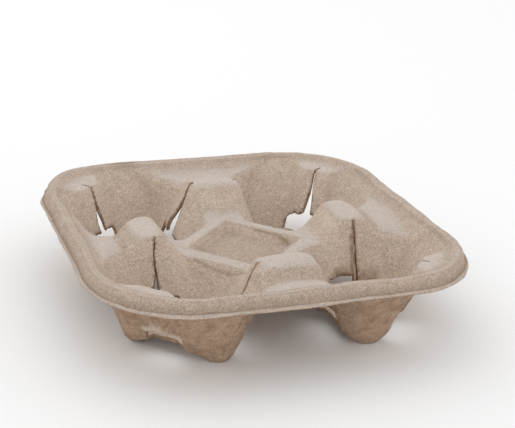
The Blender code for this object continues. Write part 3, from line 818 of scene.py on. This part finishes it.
def add_tube(mesh, rings):
    """Closed solid through rings of equal counts."""
    count = len(rings[0])
    mesh.faces.new(rings[0])
    mesh.faces.new(rings[-1])
    for near, far in zip(rings, rings[1:]):
        for index in range(count):
            after = (index + 1) % count
            mesh.faces.new([near[index], near[after], far[after], far[index]])


def surface_height(tree, x, y):
    hit = tree.ray_cast(Vector((x, y, HEIGHT - CUTTER_BASE)), Vector((0.0, 0.0, -1.0)))[0]
    return hit.z if hit else 0.0


def add_bar(mesh, slot, tree):
    """Flat-topped cutter of one bar, whose head follows the wall's height and is torn uneven."""
    shape = slot.shape
    low, high = shape.ends
    arch, drop = shape.arch * MM, shape.drop * MM
    middle = surface_height(tree, *slot.place(slot.wall_edge + arch, 0.0))
    rings = []
    for index in range(BAR_STEPS + 1):
        y = mix(low, high, index / BAR_STEPS) * MM
        bowed = bow(y / ((high if y > 0.0 else low) * MM))
        far = slot.wall_edge + arch * bowed
        head = min(max(surface_height(tree, *slot.place(far, y)), middle - BAR_LEAST), middle + BAR_MOST)
        uneven_head = noise.noise(Vector((y / HEAD_SIZE, slot.seed, HEAD_START))) * RAGGED_HEAD
        head += uneven_head - drop * (2.0 - bowed)
        near_x, near_y = ragged(slot.wall_edge - shape.depth * MM, y, slot.seed)
        far += BAR_OUTREACH
        ring = [(near_x, CUTTER_BASE), (far, CUTTER_BASE), (far, head), (near_x, head)]
        rings.append([mesh.verts.new((*slot.place(x, near_y), z)) for x, z in ring])
    add_tube(mesh, rings)


def cutter_object(name, add_cutter, *args):
    mesh = bmesh.new()
    for slot in all_slots():
        add_cutter(mesh, slot, *args)
    bmesh.ops.recalc_face_normals(mesh, faces=mesh.faces)
    return link(name, mesh_data(name, mesh))


def cut_slots(data):
    """Cuts the slots through, and returns the mesh with its cut faces in a material slot of their own."""
    tree = BVHTree.FromPolygons([vert.co for vert in data.vertices], [face.vertices for face in data.polygons])
    item = link("cut", data)
    cutters = [cutter_object("slits", add_slit), cutter_object("bars", add_bar, tree)]
    data.materials.append(bpy.data.materials.new("skin"))
    torn = bpy.data.materials.new("torn")
    for cutter in cutters:
        cutter.data.materials.append(torn)
        modifier = item.modifiers.new(cutter.name, "BOOLEAN")
        modifier.operation = "DIFFERENCE"
        modifier.solver = "MANIFOLD"
        modifier.material_mode = "TRANSFER"
        modifier.object = cutter
    fine = evaluated_mesh(item)
    for used in [item] + cutters:
        bpy.data.objects.remove(used, do_unlink=True)
    return fine


# Material

# Darker copy of the pulp's brown: painted shade on the rims, the slopes and the diamond's floor
SHADED_RIM_TONE = (0.435, 0.345, 0.278)
# Paler copy of the same brown: painted highlight where the pulp faces up, on the rim's crest and the lip's edge
PAINTED_HIGHLIGHT_TONE = (0.545, 0.472, 0.420)
# Lighter copy for the wells' walls: painted fill light in place of the shade inside the wells
PAINTED_WALL_LIGHT_TONE = (0.590, 0.487, 0.402)
# The underside's browner colour, darkened further with painted shade on faces that point down
UNDERSIDE_BROWN_AND_SHADE_TONE = (0.410, 0.285, 0.200)
FIBRE_TONE = (0.680, 0.610, 0.550)
SPECK_TONE = (0.230, 0.150, 0.095)
WARM_TONE = (0.440, 0.315, 0.225)
# Dark blotches, laid only on faces that point down
UNDERSIDE_BLOTCH_TONE = (0.215, 0.130, 0.080)
# Torn pulp, also used for painted shade in creases and along edges
TORN_AND_CREASE_SHADE_TONE = (0.265, 0.170, 0.102)

# Noises of the pulp: size, detail, roughness, distortion and stretch
NOISES = {
    "clouds": (9 * MM, 3.0, 0.55, 0.4),
    "mottle": (2.2 * MM, 4.0, 0.62, 0.6),
    "grain": (0.65 * MM, 2.0, 0.75),
    "fibres": (0.5 * MM, 2.0, 0.6, 1.4, (1.0, 0.28, 0.6)),
    "underside_blotches": (7 * MM, 4.0, 0.65, 0.8),
    "warm": (5 * MM, 3.0, 0.6, 0.8),
    "specks": (1.3 * MM, 1.0, 0.5),
    "tears": (1.6 * MM, 3.0, 0.7),
    "lumps": (3.2 * MM, 3.0, 0.6),
    "fuzz": (0.6 * MM, 3.0, 0.7),
}
# Smooth steps of those noises: from and to, and the values there
STEPS = {
    "clouds": (0.30, 0.70, 0.95, 1.05),
    "mottle": (0.30, 0.70, 0.91, 1.09),
    "grain": (0.38, 0.62, 0.77, 1.23),
    "fibres": (0.58, 0.82, 0.0, 0.5),
    "underside_blotches": (0.42, 0.64, 0.0, 0.55),
    "warm": (0.50, 0.78, 0.0, 0.35),
    "specks": (0.30, 0.20, 0.0, 0.6),
    "tears": (0.34, 0.66, -0.55, 0.35),
}
TORN_STEP = (0.25, 0.95, 0.0, 0.85)
ROUGHNESS_STEP = (0.2, 0.8, 0.98, 0.86)
BUMPS = (("lumps", 0.45 * MM), ("mottle", 0.30 * MM), ("fuzz", 0.12 * MM))
UNDER_FIBRE_LOSS = 0.8
PALE_SHADE_LOSS = 0.5
SPECULAR_LEVEL = 0.25


class Surface:
    """Short ways to add shader nodes to one material."""

    def __init__(self, name):
        self.material = bpy.data.materials.new(name)
        self.material.use_nodes = True
        self.nodes = self.material.node_tree.nodes
        self.links = self.material.node_tree.links
        self.shader = self.nodes["Principled BSDF"]
        self.places = self.nodes.new("ShaderNodeTexCoord").outputs["Object"]

    def put(self, value, socket):
        if isinstance(value, bpy.types.NodeSocket):
            self.links.new(value, socket)
        else:
            socket.default_value = value

    def node(self, kind, inputs):
        """New node, whose inputs are linked or set by their names or numbers."""
        node = self.nodes.new("ShaderNode" + kind)
        for key, value in inputs.items():
            self.put(value, node.inputs[key])
        return node

    def noise(self, size, detail, roughness, distortion=0.0, stretch=(1.0, 1.0, 1.0)):
        """Noise from 0 to 1 whose features are about as large as the size."""
        scaled = self.node("Mapping", {"Vector": self.places, "Scale": [item / size for item in stretch]})
        inputs = {"Vector": scaled.outputs["Vector"], "Scale": 1.0, "Detail": detail, "Roughness": roughness,
                  "Distortion": distortion}
        return self.node("TexNoise", inputs).outputs["Fac"]

    def ramp(self, value, low, high, from_value, to_value):
        """Smooth step of a value between low and high."""
        node = self.node("MapRange", {"Value": value, "From Min": low, "From Max": high,
                                      "To Min": from_value, "To Max": to_value})
        node.interpolation_type = "SMOOTHSTEP"
        return node.outputs["Result"]

    def math(self, operation, first, second):
        node = self.node("Math", {0: first, 1: second})
        node.operation = operation
        return node.outputs[0]

    def less(self, value, loss):
        """One, less a part of the value."""
        return self.math("SUBTRACT", 1.0, self.math("MULTIPLY", value, loss))

    def blend(self, share, first, second, kind="MIX"):
        node = self.node("Mix", {0: share})
        node.data_type = "RGBA"
        node.blend_type = kind
        colours = [item for item in node.inputs if item.type == "RGBA"]
        for value, socket in zip((first, second), colours):
            self.put((*value, 1.0) if isinstance(value, tuple) else value, socket)
        return [item for item in node.outputs if item.type == "RGBA"][0]

    def attribute(self, name):
        node = self.node("Attribute", {})
        node.attribute_name = name
        return node.outputs["Fac"]

    def bump(self, height, distance, normal):
        inputs = {"Strength": 1.0, "Distance": distance, "Height": height}
        if normal is not None:
            inputs["Normal"] = normal
        return self.node("Bump", inputs).outputs["Normal"]


def pulp_colour(pulp, noises):
    """Tones by place, lit and shaded copies of one brown as painted highlight, painted fill light and painted
    shade, then mottled tone, dark blotches under the sheet, fibres, specks, tears, and creases with painted
    shade.
    """
    steps = {name: pulp.ramp(noises[name], *row) for name, row in STEPS.items()}
    under, pale = pulp.attribute("under"), pulp.attribute("pale")
    # Painted highlight: the paler copy where the pulp faces up, over the darker copy as painted shade
    base = pulp.blend(pale, SHADED_RIM_TONE, PAINTED_HIGHLIGHT_TONE)
    # Painted fill light on the wells' walls
    base = pulp.blend(pulp.attribute("wall"), base, PAINTED_WALL_LIGHT_TONE)
    # Painted shade on faces that point down, with the underside's browner colour
    base = pulp.blend(under, base, UNDERSIDE_BROWN_AND_SHADE_TONE)
    shade = pulp.math("MULTIPLY", pulp.math("MULTIPLY", steps["clouds"], steps["mottle"]), steps["grain"])
    base = pulp.blend(pulp.less(pale, PALE_SHADE_LOSS), base, shade, "MULTIPLY")
    # Dark blotches only on faces that point down
    base = pulp.blend(pulp.math("MULTIPLY", steps["underside_blotches"], under), base, UNDERSIDE_BLOTCH_TONE)
    fibres = pulp.math("MULTIPLY", steps["fibres"], pulp.less(under, UNDER_FIBRE_LOSS))
    base = pulp.blend(fibres, base, FIBRE_TONE)
    base = pulp.blend(steps["warm"], base, WARM_TONE)
    base = pulp.blend(steps["specks"], base, SPECK_TONE)
    torn = pulp.math("ADD", pulp.attribute("torn"), steps["tears"])
    base = pulp.blend(pulp.ramp(torn, *TORN_STEP), base, TORN_AND_CREASE_SHADE_TONE)
    # Painted shade in creases and along edges, with crushed and torn pulp, all in the torn tone
    return pulp.blend(pulp.attribute("crease"), base, TORN_AND_CREASE_SHADE_TONE)


def pulp_material():
    """Pressed fibre, its colour, roughness and relief all from the same noises."""
    pulp = Surface("moulded_pulp")
    noises = {name: pulp.noise(*row) for name, row in NOISES.items()}
    pulp.put(pulp_colour(pulp, noises), pulp.shader.inputs["Base Color"])
    pulp.put(pulp.ramp(noises["mottle"], *ROUGHNESS_STEP), pulp.shader.inputs["Roughness"])
    pulp.shader.inputs["Specular IOR Level"].default_value = SPECULAR_LEVEL
    relief = None
    for name, distance in BUMPS:
        relief = pulp.bump(noises[name], distance, relief)
    pulp.put(relief, pulp.shader.inputs["Normal"])
    return pulp.material


# Piece

# How far the torn colour reaches from a slot, and further round the two back corners' openings
TORN_REACH = 1.1 * MM
WIDE_TORN_REACH = 2.2 * MM
WIDE_TEAR_PLACE = 68 * MM
WIDE_TEAR_SPREAD = 16 * MM
WIDE_TEAR_TOP = 20 * MM
# Curled edge over the front left corner's opening, with a painted highlight
CURL_REACH = 3.4 * MM
CURL_STEP = (0.0, 0.4)
CURL_HIGHLIGHT_PLACE = (-72 * MM, -72 * MM, 18 * MM)
CURL_HIGHLIGHT_REACH = 14 * MM
TORN_SLOT = 1

# Steps over which each zone fades in: by the normal's Z, the inset from the rim's edge, the distance from the
# middle or the height. A negative step fades out.
STEEP_STEP = (0.10, 0.55)
FLAT_STEP = (0.58, 0.97)
CREST_STEP = (0.90, 1.0)
UNDER_STEP = (-0.12, 0.10)
PAST_RIM_STEP = (10 * MM, 18 * MM)
PAST_CREST_STEP = (8 * MM, 12 * MM)
LIP_INSET_STEP = (-1.3 * MM, -0.8 * MM)
LIP_HEIGHT_STEP = (39 * MM, 40.5 * MM)
PAST_DIAMOND_STEP = (33 * MM, 36 * MM)
BELOW_TOPS_STEP = (-47.5 * MM, -45 * MM)
PLATEAU_HEIGHT_STEP = (24 * MM, 32 * MM)
# Outward faces of the humps, kept out of the painted highlight as painted shade
HUMP_FACE_STEPS = ((65.5 * MM, 69.5 * MM), (-77.5 * MM, -74 * MM), (-20 * MM, -14 * MM))
HUMP_FACE_SHADE_SHARE = 0.85
# Painted highlight on the rim's crest and on the lip's edge
CREST_HIGHLIGHT_SHARE = 0.45
LIP_HIGHLIGHT_SHARE = 0.35

# Painted shade line in the rim's crease: the insets and height that it stays within, its inset, half width and
# strength
RIM_LINE_INSETS = (1 * MM, 3.4 * MM)
RIM_LINE_HEIGHT = 40.5 * MM
RIM_LINE_INSET = 2 * MM
RIM_LINE_WIDTH = 0.55 * MM
RIM_LINE_SHADE_SHARE = 0.60
CREASE_NORMAL = 0.15


def torn_places(data):
    """Middle and corners of every face that the slots left."""
    places = []
    for face in data.polygons:
        if face.material_index == TORN_SLOT:
            places.append(face.center)
            places.extend(data.vertices[index].co for index in face.vertices)
    return places


def near_torn(data):
    """How close each point is to a torn edge, 1 at the edge itself, for its colour and for the painted
    highlight on the curled edge.
    """
    tree = tree_of(torn_places(data))
    distances = np.array([tree.find(vert.co)[2] for vert in data.vertices])
    places = places_of(data)
    from_corner = np.hypot(np.abs(places[:, 0]) - WIDE_TEAR_PLACE, places[:, 1] - WIDE_TEAR_PLACE)
    wide = (from_corner < WIDE_TEAR_SPREAD) & (places[:, 2] < WIDE_TEAR_TOP)
    return [np.clip(1.0 - distances / reaches, 0.0, 1.0)
            for reaches in (np.where(wide, WIDE_TORN_REACH, TORN_REACH), CURL_REACH)]


def add_attribute(data, name, values):
    layer = data.attributes.new(name, "FLOAT", "POINT")
    layer.data.foreach_set("value", np.asarray(values, np.float32))


def shaded_hump_faces(places):
    """Each hump's outward face, kept out of the painted highlight as painted shade."""
    reach = np.abs(places[:, :2]).max(axis=1)
    aside = np.abs(places[:, :2]).min(axis=1)
    near, far, side = HUMP_FACE_STEPS
    return HUMP_FACE_SHADE_SHARE * smooth_step(reach, *near) * smooth_step(-reach, *far) * smooth_step(-aside, *side)


def away_from(places, start, end):
    """Distance in plan of each place from a line, whose ends are in millimetres."""
    start, end = np.array(start) * MM, np.array(end) * MM
    along = end - start
    from_start = places[:, :2] - start
    share = np.clip(from_start @ along / (along @ along), 0.0, 1.0)
    return np.linalg.norm(from_start - share[:, None] * along, axis=1)


def crease_shade_and_tear_shares(places, normals):
    """Dark lines on the upper face: painted shade in fine creases and along edges, and torn pulp along a slit.
    """
    shares = np.zeros(len(places))
    for half_width, strength, path in CREASE_SHADE_AND_TEAR_LINES:
        for start, end in zip(path, path[1:]):
            away = away_from(places, start, end) / (half_width * MM)
            shares = np.maximum(shares, strength * np.clip(1.0 - away, 0.0, 1.0))
    return shares * (normals[:, 2] > CREASE_NORMAL)


# Crushed pulp left in and beside the front right well's slot: half width, strength inside and at the edges, and
# path in plan, with lengths in millimetres
BANDS = (
    (1.25, 0.36, 0.95, ((57.7, -15.2), (57.7, -28.0))),
    (1.1, 0.30, 0.75, ((45.5, -26.4), (69.5, -27.2))),
)
BAND_LINE = 0.55 * MM
BAND_SWAY = (2 * MM, 0.5 * MM)
BAND_HEIGHTS = (9 * MM, 38 * MM)
BAND_NORMAL = -0.1


def band_shares(places, normals):
    """Bands of crushed pulp with a darker line at both edges, also on steep walls."""
    shares = np.zeros(len(places))
    sways = sways_of(places, *BAND_SWAY)
    for half_width, fill, outline, (start, end) in BANDS:
        edge = away_from(places, start, end) + sways - half_width * MM
        lines = outline * np.exp(-(edge / BAND_LINE) ** 2)
        shares = np.maximum(shares, np.where(edge < 0.0, np.maximum(fill, lines), lines))
    lowest, highest = BAND_HEIGHTS
    return shares * (places[:, 2] > lowest) * (places[:, 2] < highest) * (normals[:, 2] > BAND_NORMAL)


# Loose sides of slots that stand proud: centre, reach and shift in millimetres, and which side they lie on
FLAPS = (
    ((-22, 58.3, 22), 10, (-3.2, 0, 0), (0, 1)),
    ((-70.2, 70.2, 18), 8, (1.5, -1.5, 0), (1, 1)),
    # Curled edge over the front left corner's opening, bent outwards all round
    ((-72, -72, 18), 7, (-2.2, -2.2, 0.8), (0, 0)),
)


def push_flaps(data):
    """Bends one side of a slot out past the other."""
    places = places_of(data)
    moved = places.copy()
    for *pull, side in FLAPS:
        off = places[:, :2] - np.array(pull[0][:2]) * MM
        moved += pull_of(places, *pull) * (off @ np.array(side) >= 0.0)[:, None]
    set_places(data, moved)


def rim_crease_shade_line(places, insets):
    """Painted shade line in the rim's crease, and the zone that it lies in."""
    low, high = RIM_LINE_INSETS
    zone = (insets > low) & (insets < high) & (places[:, 2] > RIM_LINE_HEIGHT)
    away = (insets + sways_of(places, *RIM_SWAY) - RIM_LINE_INSET) / RIM_LINE_WIDTH
    return RIM_LINE_SHADE_SHARE * np.exp(-away ** 2) * zone, zone


def painted_highlight_shares(places, normals, insets):
    """Painted highlight on the plateaus, the rim's crest and the lip's edge, which face the light."""
    up, heights = normals[:, 2], places[:, 2]
    spread = np.abs(places[:, 0]) + np.abs(places[:, 1])
    past_rim = smooth_step(insets, *PAST_RIM_STEP)
    crest = CREST_HIGHLIGHT_SHARE * smooth_step(up, *CREST_STEP) * (1.0 - past_rim)
    lip = LIP_HIGHLIGHT_SHARE * smooth_step(-insets, *LIP_INSET_STEP) * smooth_step(heights, *LIP_HEIGHT_STEP)
    plateau = smooth_step(up, *FLAT_STEP) * past_rim * smooth_step(spread, *PAST_DIAMOND_STEP)
    plateau *= smooth_step(heights, *PLATEAU_HEIGHT_STEP) * (1.0 - shaded_hump_faces(places))
    return plateau + crest + lip


def describe_surface(data, torn, curled):
    """Where the pulp gets painted fill light on the wells' walls, painted highlight, painted shade underneath,
    torn colour, and painted shade or crushed pulp in creases, for its material.
    """
    normals, places = normals_of(data), places_of(data)
    insets = insets_of(places)
    # Painted fill light on the wells' steep walls, kept in the wall attribute below
    steep = smooth_step(1.0 - normals[:, 2], *STEEP_STEP) * smooth_step(-places[:, 2], *BELOW_TOPS_STEP)
    # Painted highlight on the curled edge over the front left corner's opening
    curl_highlight = np.linalg.norm(places - np.array(CURL_HIGHLIGHT_PLACE), axis=1) < CURL_HIGHLIGHT_REACH
    curl_highlight = curl_highlight * smooth_step(curled, *CURL_STEP)
    # Painted shade line in the rim's crease
    line, line_zone = rim_crease_shade_line(places, insets)
    # Painted shade, with the underside's browner colour, on faces that point down
    under = smooth_step(-normals[:, 2], *UNDER_STEP) * (1.0 - curl_highlight)
    under[line_zone] = 0.0
    # Painted shade in creases and the rim's crease, with crushed and torn pulp
    creases = (crease_shade_and_tear_shares(places, normals), band_shares(places, normals), line)
    add_attribute(data, "wall", steep * smooth_step(insets, *PAST_CREST_STEP))
    # Painted highlight, kept in the pale attribute
    add_attribute(data, "pale", np.maximum(painted_highlight_shares(places, normals, insets), curl_highlight))
    add_attribute(data, "under", under)
    add_attribute(data, "torn", torn * (1.0 - curl_highlight))
    add_attribute(data, "crease", np.max(creases, axis=0))


def build_carrier():
    """The whole carrier as one piece, in place of the CAD's node."""
    noise.seed_set(NOISE_SEED)
    cage = build_cage()
    under = under_cage(cage)
    shares = hold_shares(places_of(cage))
    sheets = []
    for surface in (cage, under):
        set_places(surface, pull_places(places_of(surface)))
        fine = smooth_sheet(surface, shares)
        set_places(fine, uneven(places_of(fine)))
        if surface is cage:
            crease_rim(fine)
        sheets.append(fine)
    data = cut_slots(closed_sheet(*sheets))
    push_flaps(data)
    describe_surface(data, *near_torn(data))
    data.materials.clear()
    data.materials.append(pulp_material())
    for face in data.polygons:
        face.material_index = 0
    data.shade_smooth()
    item = link("pulp_carrier", data)
    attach(item, "root")
    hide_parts("cup_carrier")
    return item


# Stage: floor, light and camera

CAMERA_PLACE = Vector((-0.21178, -0.55434, 0.28199))
CAMERA_RIGHT = Vector((0.9367, -0.34569, 0.05556))
CAMERA_DOWN = Vector((-0.07829, -0.36146, -0.92909))
CAMERA_AHEAD = Vector((0.34127, 0.86593, -0.36565))
CAMERA_LENS = 79.72
SENSOR_WIDTH = 36.0
KEY_PLACE = Vector((-0.45, 0.75, 1.2))
KEY_SIZE = 1.8
KEY_POWER = 2.6
WHITE = (1.0, 1.0, 1.0, 1.0)
FLOOR_TONE = (0.92, 0.92, 0.92, 1.0)
FLOOR_ROUGHNESS = 0.9
FLOOR_REACH = 4.0


def add_camera():
    data = bpy.data.cameras.new("camera")
    data.lens = CAMERA_LENS
    data.sensor_fit = "HORIZONTAL"
    data.sensor_width = SENSOR_WIDTH
    camera = link("camera", data)
    axes = Matrix((CAMERA_RIGHT, -CAMERA_DOWN, -CAMERA_AHEAD)).transposed()
    camera.matrix_world = Matrix.Translation(CAMERA_PLACE) @ axes.to_4x4()
    bpy.context.scene.camera = camera


def add_key_light():
    data = bpy.data.lights.new("key", "AREA")
    data.shape = "DISK"
    data.size = KEY_SIZE
    data.energy = KEY_POWER
    light = link("key", data)
    light.location = KEY_PLACE
    light.rotation_euler = (-KEY_PLACE).to_track_quat("-Z", "Y").to_euler()


def add_world():
    """Plain white studio, which lights the carrier evenly and is its background."""
    world = bpy.data.worlds.new("studio")
    bpy.context.scene.world = world
    world.use_nodes = True
    world.node_tree.nodes.clear()
    white = world.node_tree.nodes.new("ShaderNodeBackground")
    white.inputs["Color"].default_value = WHITE
    white.inputs["Strength"].default_value = 1.0
    output = world.node_tree.nodes.new("ShaderNodeOutputWorld")
    world.node_tree.links.new(white.outputs[0], output.inputs["Surface"])


def add_floor():
    data = bpy.data.meshes.new("floor")
    corners = [(i * FLOOR_REACH, j * FLOOR_REACH, 0.0) for i, j in ((-1, -1), (1, -1), (1, 1), (-1, 1))]
    data.from_pydata(corners, [], [(0, 1, 2, 3)])
    floor = link("floor", data)
    material = bpy.data.materials.new("pale_floor")
    material.use_nodes = True
    shader = material.node_tree.nodes["Principled BSDF"]
    shader.inputs["Base Color"].default_value = FLOOR_TONE
    shader.inputs["Roughness"].default_value = FLOOR_ROUGHNESS
    data.materials.append(material)


add_camera()
add_world()
add_floor()
add_key_light()
build_carrier()
bpy.context.scene.view_settings.view_transform = "Standard"
